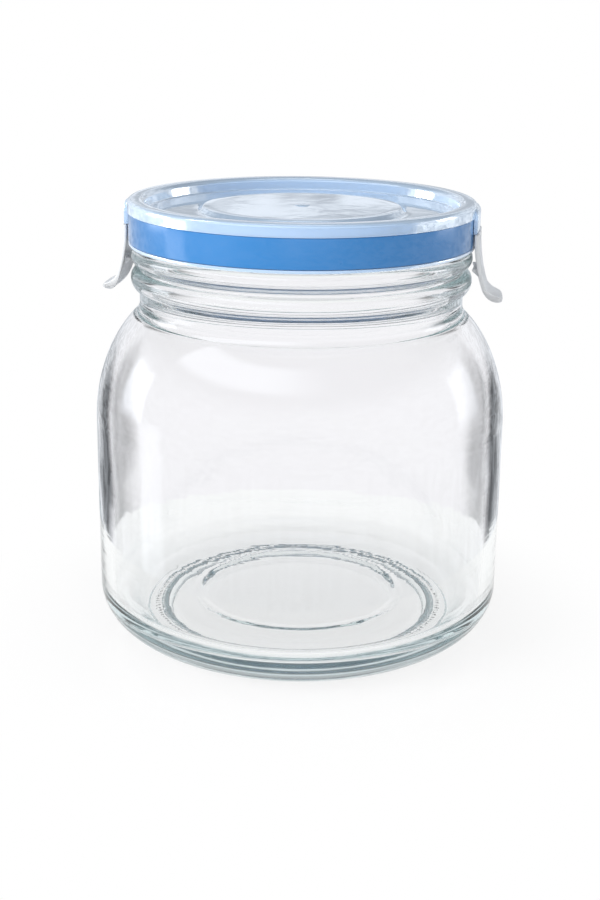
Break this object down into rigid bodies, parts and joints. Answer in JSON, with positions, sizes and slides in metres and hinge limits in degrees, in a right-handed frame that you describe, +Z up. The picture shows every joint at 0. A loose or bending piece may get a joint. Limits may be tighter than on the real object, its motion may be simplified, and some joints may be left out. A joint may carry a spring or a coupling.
{
  "type": "glass storage jar",
  "caption": "Round glass storage jar with a beaded neck and a clear clip-on plastic lid that has a blue band, a seal and two hinged pull-tab clips.",
  "frame": {"origin": "centre of the foot ring that the jar stands on", "axes": "+Z up along the jar's axis; +X through the right clip and -X through the left clip, as the picture shows them"},
  "size_m": [0.122, 0.122, 0.1314],
  "materials": {
    "clear_glass": "clear soda-lime glass with a faint sea-green tint where it is thick, fire-polished",
    "clear_plastic": "clear translucent moulded plastic, glossy and slightly milky",
    "blue_plastic": "glossy sky blue moulded plastic",
    "clip_plastic": "milky translucent moulded plastic, satin",
    "silicone": "soft translucent white silicone"
  },
  "bodies": {
    "jar": {"glass_jar": "clear_glass"},
    "lid": {"lid_cap": "clear_plastic", "colour_band": "blue_plastic", "seal_ring": "silicone"},
    "left_tab": {"left_clip": "clip_plastic"},
    "right_tab": {"right_clip": "clip_plastic"}
  },
  "joints": [
    {"name": "lid_lift", "type": "slide", "parent": "jar", "child": "lid", "axis": [0, 0, 1], "range_m": [0, 0.045]},
    {"name": "left_clip_swing", "type": "hinge", "parent": "lid", "child": "left_tab", "pos_m": [-0.0516, 0, 0.12341], "axis": [0, 1, 0], "range_deg": [-5, 110]},
    {"name": "right_clip_swing", "type": "hinge", "parent": "lid", "child": "right_tab", "pos_m": [0.0516, 0, 0.12341], "axis": [0, -1, 0], "range_deg": [-5, 110]}
  ]
}
